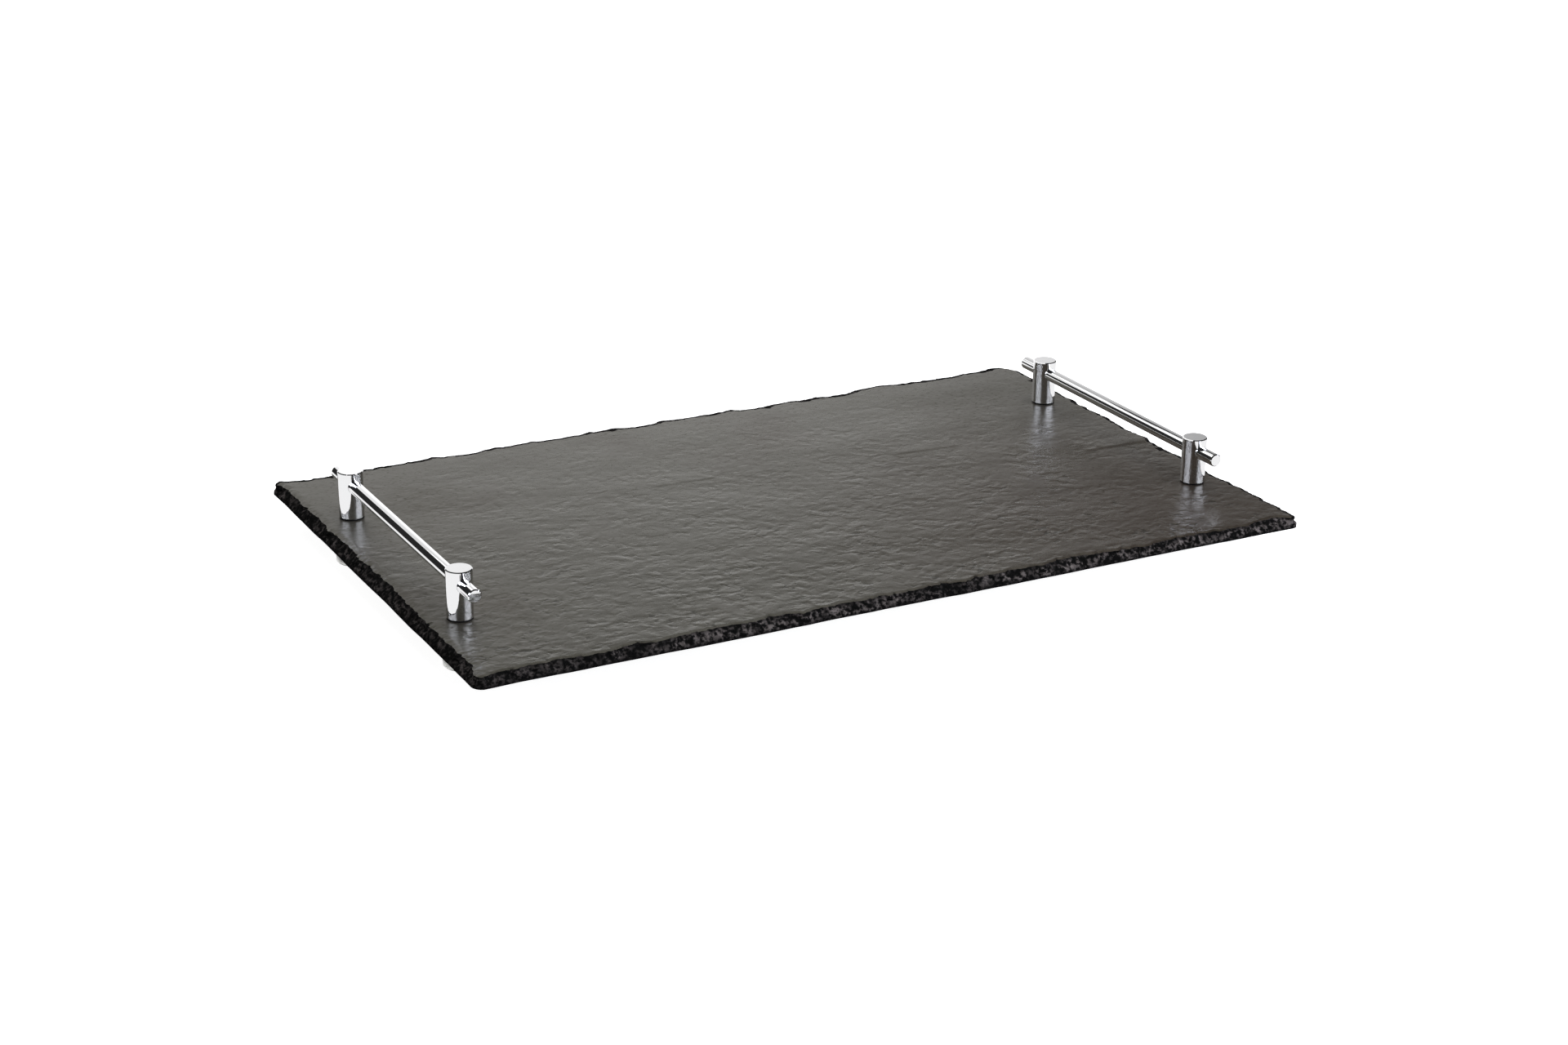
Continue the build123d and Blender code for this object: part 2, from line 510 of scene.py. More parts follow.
@dataclass(frozen=True)
class DressedSlate(Finish):
    """Slate broken by the dressing hammer: fresh conchoidal chips with oil soaked into them.

    The broken face is nearly black. Paler grey is painted here and there as highlights of small facets that
    catch the light.
    """

    name: str = "hammer_dressed_slate"
    dark: str = "#0F0F0F"
    # light is the paler grey of the painted highlights, where facets catch the light
    light: str = "#6B6564"
    roughness: float = 0.8
    specular: float = 0.0  # the broken stone soaks up the oil and stays matt
    facet_size: float = 3.0  # mm
    facet_depth: float = 0.5  # mm
    glint_stretch_size: float = 9.0  # mm across one stretch with more painted highlights
    glint_stretch_span: Span = (0.35, 0.65)  # values of the noise in the stretches with the fewest and with the most painted highlights
    least_glint_share: float = 0.2  # share of the painted highlights that is left in the stretches with the fewest
    grit_size: float = 2.7  # mm
    grit_depth: float = 0.2  # mm
    grit_span: Span = (0.44, 0.66)  # values of the noise where the painted highlights start and are brightest
    painted_light_fades: tuple[Fade, ...] = (  # painted shade: the painted highlights fade at the edge's foot and under its top, and there are fewer of them to the left
        Fade("Z", 21.6, 23.6, 0.25, 1.0),
        Fade("Z", 28.0, 25.6, 0.25, 1.0),
        Fade("X", -250.0, -90.0, 0.4, 1.0),
    )

    def surface(self, tree: Tree) -> Socket:
        """Adds small facets, with painted highlights in a belt round the middle of the edge, and grit.

        Args:
            tree: the finish's node tree.

        Returns:
            The shader socket.
        """
        place = add_node(tree, "TexCoord").outputs["Object"]
        facets = add_node(
            tree, "TexVoronoi", {"Scale": per_metre(self.facet_size), "Randomness": 1.0}, {"Vector": place},
        ).outputs["Distance"]
        stretch = add_node(
            tree, "TexNoise", {"Scale": per_metre(self.glint_stretch_size), "Detail": 1}, {"Vector": place},
        ).outputs["Fac"]
        darkest, palest = self.glint_stretch_span
        glint_stretch = add_node(
            tree, "MapRange", {"From Min": darkest, "From Max": palest, "To Min": self.least_glint_share},
            {"Value": stretch},
        ).outputs[0]
        grit = add_node(
            tree, "TexNoise", {"Scale": per_metre(self.grit_size), "Detail": 3, "Roughness": 0.6},
            {"Vector": place},
        ).outputs["Fac"]
        mottle = add_node(
            tree, "MapRange",
            {
                "interpolation_type": Easing.SMOOTH.value,
                "From Min": self.grit_span[0],
                "From Max": self.grit_span[1],
            },
            {"Value": grit},
        ).outputs[0]
        # Painted highlights: share of the paler grey
        share = add_node(tree, "Math", {"operation": "MULTIPLY"}, {0: glint_stretch, 1: mottle}).outputs[0]
        # Painted shade at the foot and top of the edge, and fewer painted highlights to the left
        for fade in self.painted_light_fades:
            share = fade.scale(tree, place, share)
        colour = add_node(
            tree, "Mix",
            {"data_type": "RGBA", COLOUR_A: linear(self.dark), COLOUR_B: linear(self.light)}, {0: share},
        ).outputs[COLOUR_OUT]
        chipped = add_node(
            tree, "Bump", {"Strength": 1.0, "Distance": self.facet_depth * MM}, {"Height": facets},
        ).outputs[0]
        relief = add_node(
            tree, "Bump", {"Strength": 1.0, "Distance": self.grit_depth * MM},
            {"Height": grit, "Normal": chipped},
        ).outputs[0]
        return add_node(
            tree, "BsdfPrincipled", {"Roughness": self.roughness, "Specular IOR Level": self.specular},
            {"Base Color": colour, "Normal": relief},
        ).outputs[0]


@dataclass(frozen=True)
class PolishedChrome(Finish):
    """Chrome plate on turned and buffed steel.

    It mirrors the studio sharply, with a slightly cool tint. The buffing leaves a haze that comes and goes
    in patches a few millimetres across.
    """

    name: str = "polished_chrome_plate"
    tint: str = "#F7F7F8"
    least_roughness: float = 0.025
    most_roughness: float = 0.06
    haze_size: float = 6.0  # mm
    haze_span: Span = (0.3, 0.7)  # values of the noise where the haze is thinnest and thickest

    def surface(self, tree: Tree) -> Socket:
        """Adds the patchy haze of the buffing.

        Args:
            tree: the finish's node tree.

        Returns:
            The shader socket.
        """
        place = add_node(tree, "TexCoord").outputs["Object"]
        haze = add_node(
            tree, "TexNoise", {"Scale": per_metre(self.haze_size), "Detail": 4, "Roughness": 0.6},
            {"Vector": place},
        ).outputs["Fac"]
        gloss = add_node(
            tree, "MapRange",
            {
                "From Min": self.haze_span[0],
                "From Max": self.haze_span[1],
                "To Min": self.least_roughness,
                "To Max": self.most_roughness,
            },
            {"Value": haze},
        ).outputs[0]
        return add_node(
            tree, "BsdfPrincipled", {"Base Color": linear(self.tint), "Metallic": 1.0}, {"Roughness": gloss},
        ).outputs[0]


@dataclass(frozen=True)
class GasketRubber(Finish):
    """Black nitrile rubber, punched from a calendered sheet: matt, with a fine even speckle."""

    name: str = "punched_nitrile_rubber"
    dark: str = "#0E0E0F"
    light: str = "#1A1A1B"
    roughness: float = 0.62
    ior: float = 1.52
    speckle_size: float = 0.7  # mm
    speckle_depth: float = 0.03  # mm

    def surface(self, tree: Tree) -> Socket:
        """Adds the speckle.

        Args:
            tree: the finish's node tree.

        Returns:
            The shader socket.
        """
        place = add_node(tree, "TexCoord").outputs["Object"]
        speckle = add_node(
            tree, "TexNoise", {"Scale": per_metre(self.speckle_size), "Detail": 2}, {"Vector": place},
        ).outputs["Fac"]
        colour = add_node(
            tree, "Mix",
            {"data_type": "RGBA", COLOUR_A: linear(self.dark), COLOUR_B: linear(self.light)}, {0: speckle},
        ).outputs[COLOUR_OUT]
        relief = add_node(
            tree, "Bump", {"Strength": 1.0, "Distance": self.speckle_depth * MM}, {"Height": speckle},
        ).outputs[0]
        return add_node(
            tree, "BsdfPrincipled", {"IOR": self.ior, "Roughness": self.roughness},
            {"Base Color": colour, "Normal": relief},
        ).outputs[0]


@dataclass(frozen=True)
class FootPlastic(Finish):
    """Clear soft PVC, moulded in a spark-eroded tool.

    It lets most of the light through, so it shows what lies behind it, blurred by the fine satin texture of
    the tool and a little milky.
    """

    name: str = "moulded_clear_pvc"
    body: str = "#F4F4F1"
    cloudy: str = "#E2E2DD"
    roughness: float = 0.3
    ior: float = 1.53
    clearness: float = 0.8
    cloud_size: float = 7.0  # mm
    texture_size: float = 0.6  # mm
    texture_depth: float = 0.02  # mm

    def surface(self, tree: Tree) -> Socket:
        """Adds the milky clouds and the tool's texture.

        Args:
            tree: the finish's node tree.

        Returns:
            The shader socket.
        """
        place = add_node(tree, "TexCoord").outputs["Object"]
        cloud = add_node(
            tree, "TexNoise", {"Scale": per_metre(self.cloud_size), "Detail": 3}, {"Vector": place},
        ).outputs["Fac"]
        texture = add_node(
            tree, "TexNoise", {"Scale": per_metre(self.texture_size), "Detail": 2}, {"Vector": place},
        ).outputs["Fac"]
        colour = add_node(
            tree, "Mix",
            {"data_type": "RGBA", COLOUR_A: linear(self.body), COLOUR_B: linear(self.cloudy)}, {0: cloud},
        ).outputs[COLOUR_OUT]
        relief = add_node(
            tree, "Bump", {"Strength": 1.0, "Distance": self.texture_depth * MM}, {"Height": texture},
        ).outputs[0]
        return add_node(
            tree, "BsdfPrincipled",
            {"IOR": self.ior, "Roughness": self.roughness, "Transmission Weight": self.clearness},
            {"Base Color": colour, "Normal": relief},
        ).outputs[0]


@dataclass(frozen=True)
class PlainSteel(Finish):
    """Stainless steel as rolled and turned for fixings: greyish, with the dull shine of a tumbled part."""

    name: str = "tumbled_stainless_steel"
    bright: str = "#BDBBB6"
    dull: str = "#9C9A96"
    least_roughness: float = 0.24
    most_roughness: float = 0.4
    mottle_size: float = 1.6  # mm
    mottle_span: Span = (0.3, 0.7)  # values of the noise where the steel is shiniest and dullest

    def surface(self, tree: Tree) -> Socket:
        """Adds the mottle of tumbling.

        Args:
            tree: the finish's node tree.

        Returns:
            The shader socket.
        """
        place = add_node(tree, "TexCoord").outputs["Object"]
        mottle = add_node(
            tree, "TexNoise", {"Scale": per_metre(self.mottle_size), "Detail": 4, "Roughness": 0.6},
            {"Vector": place},
        ).outputs["Fac"]
        colour = add_node(
            tree, "Mix",
            {"data_type": "RGBA", COLOUR_A: linear(self.bright), COLOUR_B: linear(self.dull)}, {0: mottle},
        ).outputs[COLOUR_OUT]
        gloss = add_node(
            tree, "MapRange",
            {
                "From Min": self.mottle_span[0],
                "From Max": self.mottle_span[1],
                "To Min": self.least_roughness,
                "To Max": self.most_roughness,
            },
            {"Value": mottle},
        ).outputs[0]
        return add_node(
            tree, "BsdfPrincipled", {"Metallic": 1.0}, {"Base Color": colour, "Roughness": gloss},
        ).outputs[0]


@dataclass(frozen=True)
class Crease:
    """A long fine step in the split face, where one sheet of the stone ends."""

    start: Span
    end: Span
    rise: float
    width: float = 2.4
    run_out: Span = (0.1, 0.15)  # shares of its length over which it dies away, past an end and before it
    back_widths: float = 9.0  # widths behind the step where its sheet is down to the face again

    def height(self, x: Array, y: Array) -> Array:
        """Height that the step adds, dying away behind it and past its ends.

        Args:
            x: places along the plate.
            y: places across the plate.

        Returns:
            One height for each place.
        """
        run = self.end[0] - self.start[0]
        share = (x - self.start[0]) / run
        middle = self.start[1] + share * (self.end[1] - self.start[1])
        past, before = self.run_out
        ends = smooth_step(share, -past, before) * smooth_step(-share, -1 - past, before - 1)
        behind = y - middle
        rising = smooth_step(behind, -self.width / 2, self.width / 2)
        step = rising * smooth_step(-behind, -self.back_widths * self.width, 0)
        return self.rise * ends * step


@dataclass(frozen=True)
class SplitRelief:
    """The relief of a face that was split by chisel: short nicks along it, on thin, nearly flat sheets."""

    seed: int
    nick_pitch: Span = (7.0, 3.6)  # size of the cell that may hold one nick
    nick_length: Span = (3.5, 10.0)  # least and most
    nick_slant: float = 0.3  # most that a nick strays across the plate, as a share of its run along it
    nick_depth: float = 0.13
    nick_share: float = 0.55  # share of the cells that hold a nick
    face_width: float = 1.8  # of a nick's steep side
    back_width: float = 2.8  # of its other side
    patch_length: float = 34.0
    patch_width: float = 20.0
    patch_span: Span = (-0.35, 0.45)  # values of the noise in the calmest and in the roughest patches
    calm: float = 0.4  # share of the nicks' depth that is left between rough patches
    calm_rear: float = 0.26  # share of the relief that is left at the rear
    calm_reach: float = 140.0  # from the plate's middle to the front and rear of that fading
    ripple: float = 0.12
    ripple_length: float = 18.0
    ripple_width: float = 11.0
    swell: float = 0.4
    swell_length: float = 70.0
    swell_width: float = 48.0
    creases: tuple[Crease, ...] = ()

    CELLS: ClassVar[int] = 256
    DRAWS: ClassVar[int] = 6  # for one nick: its place along and across, length, slant, depth and turn

    def nicks(self, x: Array, y: Array) -> Array:
        """Adds up the nicks, about -1 to 1 high, that lie over each place.

        Args:
            x: places along the plate.
            y: places across the plate.

        Returns:
            One height for each place.
        """
        draw = np.random.default_rng(self.seed).uniform(0, 1, (self.CELLS, self.CELLS, self.DRAWS))
        pitch_x, pitch_y = self.nick_pitch
        column, row = np.floor(x / pitch_x).astype(int), np.floor(y / pitch_y).astype(int)
        height = np.zeros(x.shape)
        for right in (-1, 0, 1):
            for up in (-1, 0, 1):
                spot_x, spot_y, length, slant, depth, turn = np.moveaxis(
                    draw[(column + right) % self.CELLS, (row + up) % self.CELLS], -1, 0
                )
                along = x - (column + right + spot_x) * pitch_x
                across = y - (row + up + spot_y) * pitch_y - (2 * slant - 1) * self.nick_slant * along
                half = (self.nick_length[0] + length * (self.nick_length[1] - self.nick_length[0])) / 2
                taper = np.clip(1 - (along / half) ** 2, 0, 1)
                shape = smooth_step(across, -self.face_width, 0) * smooth_step(-across, -self.back_width, 0)
                strength = np.clip((depth - 1) / self.nick_share + 1, 0, 1)
                hollow_or_ridge = np.where(turn < 0.5, -1, 1)
                height = height + hollow_or_ridge * strength * taper * shape
        return height

    def height(self, x: Array, y: Array) -> Array:
        """Height of the split face above its mean plane.

        Args:
            x: places along the plate.
            y: places across the plate.

        Returns:
            One height for each place.
        """
        patch = LatticeNoise(self.seed + 1).at(x / self.patch_length, y / self.patch_width)
        rough = self.calm + (1 - self.calm) * smooth_step(patch, *self.patch_span)
        fading = np.interp(y, (-self.calm_reach, self.calm_reach), (1.0, self.calm_rear))
        ripple = LatticeNoise(self.seed + 2).at(x / self.ripple_length, y / self.ripple_width)
        swell = LatticeNoise(self.seed + 3).at(x / self.swell_length, y / self.swell_width)
        fine = self.nick_depth * rough * self.nicks(x, y) + self.ripple * ripple
        height = fading * fine + self.swell * swell
        for crease in self.creases:
            height = height + crease.height(x, y)
        return height


@dataclass(frozen=True)
class HammeredEdge:
    """The facets that the dressing hammer leaves on the plate's edge."""

    seed: int = 5
    facet_length: float = 5.0
    facet_height: float = 2.3
    facet_depth: float = 1.3
    facet_tilt: float = 0.6
    facet_rows: int = 5  # up the edge, with one to spare below it
    facet_spots: Span = (0.15, 0.85)  # share of its cell between which a facet's middle lies
    grit: float = 0.5  # depth
    grit_size: float = 3.0
    rim_bite: float = 1.5  # most that the upper rim is bitten in
    rim_length: float = 5.5  # of one bite along the rim
    rim_depth: float = 3.0  # how far down the edge the bites run

    def hollow(self, run: Array, rise: Array, round_trip: float, top: float, bites: Array) -> Array:
        """Depth that the hammer took off the edge.

        Args:
            run: distances round the plate.
            rise: heights above the plate's underside.
            round_trip: the whole way round the plate.
            top: the rise of the upper rim.
            bites: share of the rim's bites at each place.

        Returns:
            One depth for each place, never below zero.
        """
        columns = round(round_trip / self.facet_length)
        rows = self.facet_rows
        draw = np.random.default_rng(self.seed)
        spot = draw.uniform(*self.facet_spots, (columns, rows, 2))
        depth = draw.uniform(0.0, self.facet_depth, (columns, rows))
        tilt = draw.uniform(-self.facet_tilt, self.facet_tilt, (columns, rows, 2))
        a, b = run / round_trip * columns, 1 + rise / self.facet_height
        nearest = np.full(a.shape, np.inf)
        hollow = np.zeros(a.shape)
        for column_step in (-1, 0, 1):
            for row_step in (-1, 0, 1):
                column = np.floor(a).astype(int) + column_step
                row = np.clip(np.floor(b).astype(int) + row_step, 0, rows - 1)
                here = (column % columns, row)
                off_a, off_b = a - column - spot[here][..., 0], b - row - spot[here][..., 1]
                gap = off_a ** 2 + off_b ** 2
                plane = depth[here] + tilt[here][..., 0] * off_a + tilt[here][..., 1] * off_b
                hollow = np.where(gap < nearest, plane, hollow)
                nearest = np.minimum(gap, nearest)
        rough = LatticeNoise(self.seed + 1).at(run / self.grit_size, rise / self.grit_size)
        bite = LatticeNoise(self.seed + 2).at(run / self.rim_length, np.zeros(run.shape))
        near_rim = smooth_step(rise, top - self.rim_depth, top)
        bitten = self.rim_bite * bites * np.maximum(bite, 0) * near_rim
        return np.maximum(hollow + self.grit * rough, 0) + bitten


def flat_outline(mesh: bpy.types.Mesh, height: float, slack: float = 0.01, digits: int = 3) -> Array:
    """Walks round the longest outline of a mesh's flat face.

    Args:
        mesh: the mesh, in metres.
        height: the face's height in millimetres.
        slack: how far off that height a corner may lie, in millimetres.
        digits: decimals of a millimetre in which two corners at one place agree.

    Returns:
        The outline's points in millimetres, counter-clockwise from above.
    """
    points: dict[Span, int] = {}
    corner: dict[int, int] = {}
    for vertex in mesh.vertices:
        if abs(vertex.co.z / MM - height) < slack:
            place = (round(vertex.co.x / MM, digits), round(vertex.co.y / MM, digits))
            corner[vertex.index] = points.setdefault(place, len(points))
    edges = set()
    for face in mesh.polygons:
        if all(index in corner for index in face.vertices):
            turn = [corner[index] for index in face.vertices]
            edges.update(zip(turn, turn[1:] + turn[:1]))
    following = {start: end for start, end in edges if (end, start) not in edges}
    places = np.array(list(points))
    longest = np.empty((0, 2))
    while following:
        start, walk = following.popitem()
        loop = [start]
        while walk != start:
            loop.append(walk)
            walk = following.pop(walk)
        outline = places[loop]
        if np.ptp(outline, 0).sum() > (np.ptp(longest, 0).sum() if len(longest) else 0):
            longest = outline
    x, y = longest.T
    clockwise = np.sum(x * np.roll(y, -1) - np.roll(x, -1) * y) < 0
    return longest[::-1] if clockwise else longest


@dataclass
class SlatePlate:
    """The slate plate: a split face above and below, and a hammered edge between them."""

    node: str = "slate_board"
    name: str = "slate_plate"
    slot: str = "slate"
    cells_along: int = 222
    cells_across: int = 300
    edge_steps: tuple[int, int] = (3, 1)  # edge cells for each face cell, on the long and the short sides
    under_share: int = 3  # face cells for each underside cell
    edge_rows: int = 10
    heading_steps: int = 4  # edge points, ahead and behind, that give the edge's heading
    land: float = 2.2  # height of the edge's square lower part
    land_blend: float = 1.6  # lands above the underside where the facets reach their full depth
    arris_wear: float = 0.7  # that the upper rim lies below the face
    bite_shares: tuple[float, ...] = (1.0, 0.6, 0.8, 0.4)  # on the front, right, rear and left
    rear_bruise: float = 3.0  # mean width of the bruised rim on the upper face
    right_bruise: float = 1.8
    bruise_unevenness: float = 0.6
    bruise_length: float = 14.0  # of one wider or narrower stretch of it
    seat_radius: float = 9.0  # flat stretch round each post and foot
    seat_blend: float = 9.0
    sharp_angle: float = 38.0  # degrees, from which an edge isn't smoothed over
    split: Finish = field(default_factory=SplitSlate)
    dressed: Finish = field(default_factory=DressedSlate)
    edge: HammeredEdge = field(default_factory=HammeredEdge)
    above: SplitRelief = SplitRelief(
        seed=40,
        creases=(
            Crease((212, -10), (268, -12), 0.45),
            Crease((98, 37), (148, 34), 0.22),
            Crease((-60, 51), (-18, 50), 0.2),
        ),
    )
    below: SplitRelief = SplitRelief(seed=80)

    def side_points(self, outline: Array, counts: tuple[int, int]) -> Array:
        """Spaces points evenly along each side of an outline.

        Args:
            outline: points round the plate, counter-clockwise.
            counts: number of steps on a long and on a short side.

        Returns:
            One point for each step, round the plate from its left front corner.
        """
        signs = ((-1, -1), (1, -1), (1, 1), (-1, 1))
        corners = [int(np.argmax(outline @ sign)) for sign in signs]
        points = []
        for side, first in enumerate(corners):
            last = corners[(side + 1) % len(corners)]
            if last <= first:
                last += len(outline)
            stretch = outline[np.arange(first, last + 1) % len(outline)]
            axis, other = side % 2, 1 - side % 2
            steps = counts[axis]
            along = (stretch[:, axis] - stretch[0, axis]) / (stretch[-1, axis] - stretch[0, axis])
            share = np.arange(steps) / steps
            even = np.empty((steps, 2))
            even[:, axis] = stretch[0, axis] + share * (stretch[-1, axis] - stretch[0, axis])
            even[:, other] = np.interp(share, along, stretch[:, other])
            points.append(even)
        return np.concatenate(points)

    def seats(self, x: Array, y: Array) -> Array:
        """Share of the relief that is left: none where a post and its foot clamp the plate.

        Args:
            x: places along the plate.
            y: places across the plate.

        Returns:
            One share for each place.
        """
        share = np.ones(x.shape)
        for side in Side:
            for end in End:
                low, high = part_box(f"{side.value}_{end.value}_post")
                axis = (low + high) / 2 / MM
                away = np.hypot(x - axis.x, y - axis.y)
                share = share * smooth_step(away, self.seat_radius, self.seat_radius + self.seat_blend)
        return share

    def edge_rings(self) -> Array:
        """Places the edge's points.

        Returns:
            One ring of points for each level, from the underside up, in millimetres.
        """
        low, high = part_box(self.node)
        bottom, top = low.z / MM, high.z / MM
        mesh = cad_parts[self.node].data
        counts = (self.cells_along * self.edge_steps[0], self.cells_across * self.edge_steps[1])
        lower = self.side_points(flat_outline(mesh, bottom), counts)
        upper = self.side_points(flat_outline(mesh, top), counts)
        stride = np.linalg.norm(np.roll(lower, -1, 0) - lower, axis=1)
        run = np.concatenate([[0], np.cumsum(stride)[:-1]])
        ahead = np.roll(lower, -self.heading_steps, 0) - np.roll(lower, self.heading_steps, 0)
        inward = np.stack([-ahead[:, 1], ahead[:, 0]], 1) / np.linalg.norm(ahead, axis=1)[:, None]
        bites = np.repeat(self.bite_shares, counts * 2)
        rings = []
        for level in range(self.edge_rows + 1):
            rise = (top - bottom) * level / self.edge_rows
            share = max(0.0, (rise - self.land) / (top - bottom - self.land))
            place = lower + share * (upper - lower)
            hollow = self.edge.hollow(run, np.full(run.shape, rise), stride.sum(), top - bottom, bites)
            hollow = hollow * smooth_step(rise, 0, self.land_blend * self.land)
            place = place + inward * hollow[:, None]
            x, y = place.T
            z = np.full(run.shape, bottom + rise)
            if level == 0:
                z = z + self.lift_below(x, y)
            if level == self.edge_rows:
                z = z + self.above.height(x, y) * self.seats(x, y) - self.arris_wear
            rings.append(np.stack([x, y, z], 1))
        return np.stack(rings)

    def lift_below(self, x: Array, y: Array) -> Array:
        """Relief of the underside, which only ever hollows it."""
        relief = self.below.height(x, y)
        return np.maximum(relief + self.below.nick_depth, 0) * self.seats(x, y)

    def grid(self, ring: Array, cells: tuple[int, int], steps: tuple[int, int]) -> Array:
        """Spans the inside of a ring with an even grid of places.

        Args:
            ring: points round the plate.
            cells: grid cells along and across the plate.
            steps: ring points for each cell on a long and on a short side.

        Returns:
            The grid's inner places by row and column, in millimetres.
        """
        count_x, count_y = cells
        run_x, run_y = count_x * steps[0], count_y * steps[1]
        loop = np.concatenate([ring, ring[:1]])[:, :2]
        front = loop[:run_x + 1:steps[0]]
        right = loop[run_x:run_x + run_y + 1:steps[1]]
        rear = loop[run_x + run_y:2 * run_x + run_y + 1:steps[0]][::-1]
        left = loop[2 * run_x + run_y:2 * (run_x + run_y) + 1:steps[1]][::-1]
        u = np.linspace(0, 1, count_x + 1)[None, 1:-1, None]
        v = np.linspace(0, 1, count_y + 1)[1:-1, None, None]
        between_long = (1 - v) * front[None, 1:-1] + v * rear[None, 1:-1]
        between_short = (1 - u) * left[1:-1, None] + u * right[1:-1, None]
        lower = (1 - u) * front[0] + u * front[-1]
        upper = (1 - u) * rear[0] + u * rear[-1]
        return between_long + between_short - (1 - v) * lower - v * upper

    def cap(self, ring: list[int], inner: Array, steps: tuple[int, int]) -> list[list[int]]:
        """Lists the faces between a grid's inner points and the ring round them.

        Args:
            ring: point numbers round the plate.
            inner: point numbers of the grid's inside, by row and column.
            steps: ring points for each cell on a long and on a short side.

        Returns:
            The faces' point numbers, counter-clockwise from above.
        """
        rows, columns = inner.shape[0] + 1, inner.shape[1] + 1
        step_x, step_y = steps
        right = columns * step_x
        rear = right + rows * step_y
        left = rear + columns * step_x
        loop = ring + ring[:1]
        number = np.empty((rows + 1, columns + 1), int)
        number[1:-1, 1:-1] = inner
        number[0, :] = loop[:right + 1:step_x]
        number[:, -1] = loop[right:rear + 1:step_y]
        number[-1, :] = loop[rear:left + 1:step_x][::-1]
        number[:, 0] = loop[left::step_y][::-1]
        faces = []
        for row in range(rows):
            for column in range(columns):
                face = [int(number[row, column])]
                if row == 0:
                    face += ring[column * step_x + 1:(column + 1) * step_x]
                face.append(int(number[row, column + 1]))
                if column == columns - 1:
                    face += ring[right + row * step_y + 1:right + (row + 1) * step_y]
                face.append(int(number[row + 1, column + 1]))
                if row == rows - 1:
                    start = rear + (columns - 1 - column) * step_x
                    face += ring[start + 1:start + step_x]
                face.append(int(number[row + 1, column]))
                if column == 0:
                    start = left + (rows - 1 - row) * step_y
                    face += ring[start + 1:start + step_y]
                faces.append(face)
        return faces

    def bruised(self) -> Array:
        """Finds the bruised rear and right rims of the upper face.

        Returns:
            Whether each cell of the face, row by row, lies on them.
        """
        low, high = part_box(self.node)
        size = (high - low) / MM
        row, column = np.mgrid[0:self.cells_across, 0:self.cells_along]
        from_rear = (self.cells_across - 1 - row) * size.y / self.cells_across
        from_right = (self.cells_along - 1 - column) * size.x / self.cells_along
        noise = LatticeNoise(self.edge.seed + 3)
        uneven = noise.at(from_right / self.bruise_length, from_rear / self.bruise_length)
        spread = 1 + self.bruise_unevenness * uneven
        return ((from_rear < self.rear_bruise * spread) | (from_right < self.right_bruise * spread)).ravel()

    def belt(self, levels: int, around: int) -> list[list[int]]:
        """Lists the faces of the edge.

        Args:
            levels: number of rings, from the underside up.
            around: number of points on each ring.

        Returns:
            The faces' point numbers, counter-clockwise from outside.
        """
        faces = []
        for level in range(levels - 1):
            base = level * around
            for step in range(around):
                beside = (step + 1) % around
                faces.append([base + step, base + beside, base + around + beside, base + around + step])
        return faces

    def build(self) -> Piece:
        """Builds the plate as one closed mesh and puts it in the solid's place.

        Returns:
            The plate.
        """
        rings = self.edge_rings()
        levels, around = rings.shape[:2]
        bottom, top = (corner.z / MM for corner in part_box(self.node))
        cells = (self.cells_along, self.cells_across)
        under_cells = (cells[0] // self.under_share, cells[1] // self.under_share)
        under_steps = (self.edge_steps[0] * self.under_share, self.edge_steps[1] * self.under_share)
        face_places = self.grid(rings[-1], cells, self.edge_steps)
        under_places = self.grid(rings[0], under_cells, under_steps)
        x, y = face_places[..., 0], face_places[..., 1]
        face_height = top + self.above.height(x, y) * self.seats(x, y)
        under_x, under_y = under_places[..., 0], under_places[..., 1]
        under_height = bottom + self.lift_below(under_x, under_y)
        points = np.concatenate([
            rings.reshape(-1, 3),
            np.dstack([face_places, face_height]).reshape(-1, 3),
            np.dstack([under_places, under_height]).reshape(-1, 3),
        ])
        face_start = levels * around
        under_start = face_start + x.size
        face_inner = face_start + np.arange(x.size).reshape(x.shape)
        under_inner = under_start + np.arange(under_x.size).reshape(under_x.shape)
        top_ring = list(range((levels - 1) * around, levels * around))
        split_faces = self.cap(top_ring, face_inner, self.edge_steps)
        split_faces += [face[::-1] for face in self.cap(list(range(around)), under_inner, under_steps)]
        edge_faces = self.belt(levels, around)
        mesh = bpy.data.meshes.new(self.name)
        mesh.from_pydata((points * MM).tolist(), [], split_faces + edge_faces)
        kinds = [Face.SPLIT.value] * len(split_faces) + [Face.DRESSED.value] * len(edge_faces)
        for face in np.flatnonzero(self.bruised()):
            kinds[face] = Face.DRESSED.value
        mesh.polygons.foreach_set("material_index", kinds)
        mesh.shade_smooth()
        mesh.set_sharp_from_angle(angle=math.radians(self.sharp_angle))
        plate = bpy.data.objects.new(self.name, mesh)
        bpy.context.scene.collection.objects.link(plate)
        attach(plate, BODY)
        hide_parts(self.node)
        self.dress(plate)
        return plate

    def dress(self, plate: Piece) -> None:
        """Gives the faces the split finish and the edge the hammered one."""
        plate.data.materials.append(self.split.material())
        plate.data.materials.append(self.dressed.material())


def wear(node: str, finish: Finish) -> Piece:
    """Gives a CAD piece its finish.

    Args:
        node: the piece's node name.
        finish: what it is made of.

    Returns:
        The piece.
    """
    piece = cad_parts[node]
    piece.data.materials.clear()
    piece.data.materials.append(finish.material())
    return piece


@dataclass
class BarHandle:
    """One handle: a round rail through two turned posts, each on a gasket."""

    side: Side
    chrome: Finish = field(default_factory=PolishedChrome)
    rubber: Finish = field(default_factory=GasketRubber)

    def dress(self) -> list[Piece]:
        """Gives the rail, the posts and the gaskets their finishes.

        Returns:
            These pieces.
        """
        pieces = [wear(f"{self.side.value}_rail", self.chrome)]
        for end in End:
            station = f"{self.side.value}_{end.value}"
            pieces.append(wear(f"{station}_post", self.chrome))
            pieces.append(wear(f"{station}_gasket", self.rubber))
        return pieces


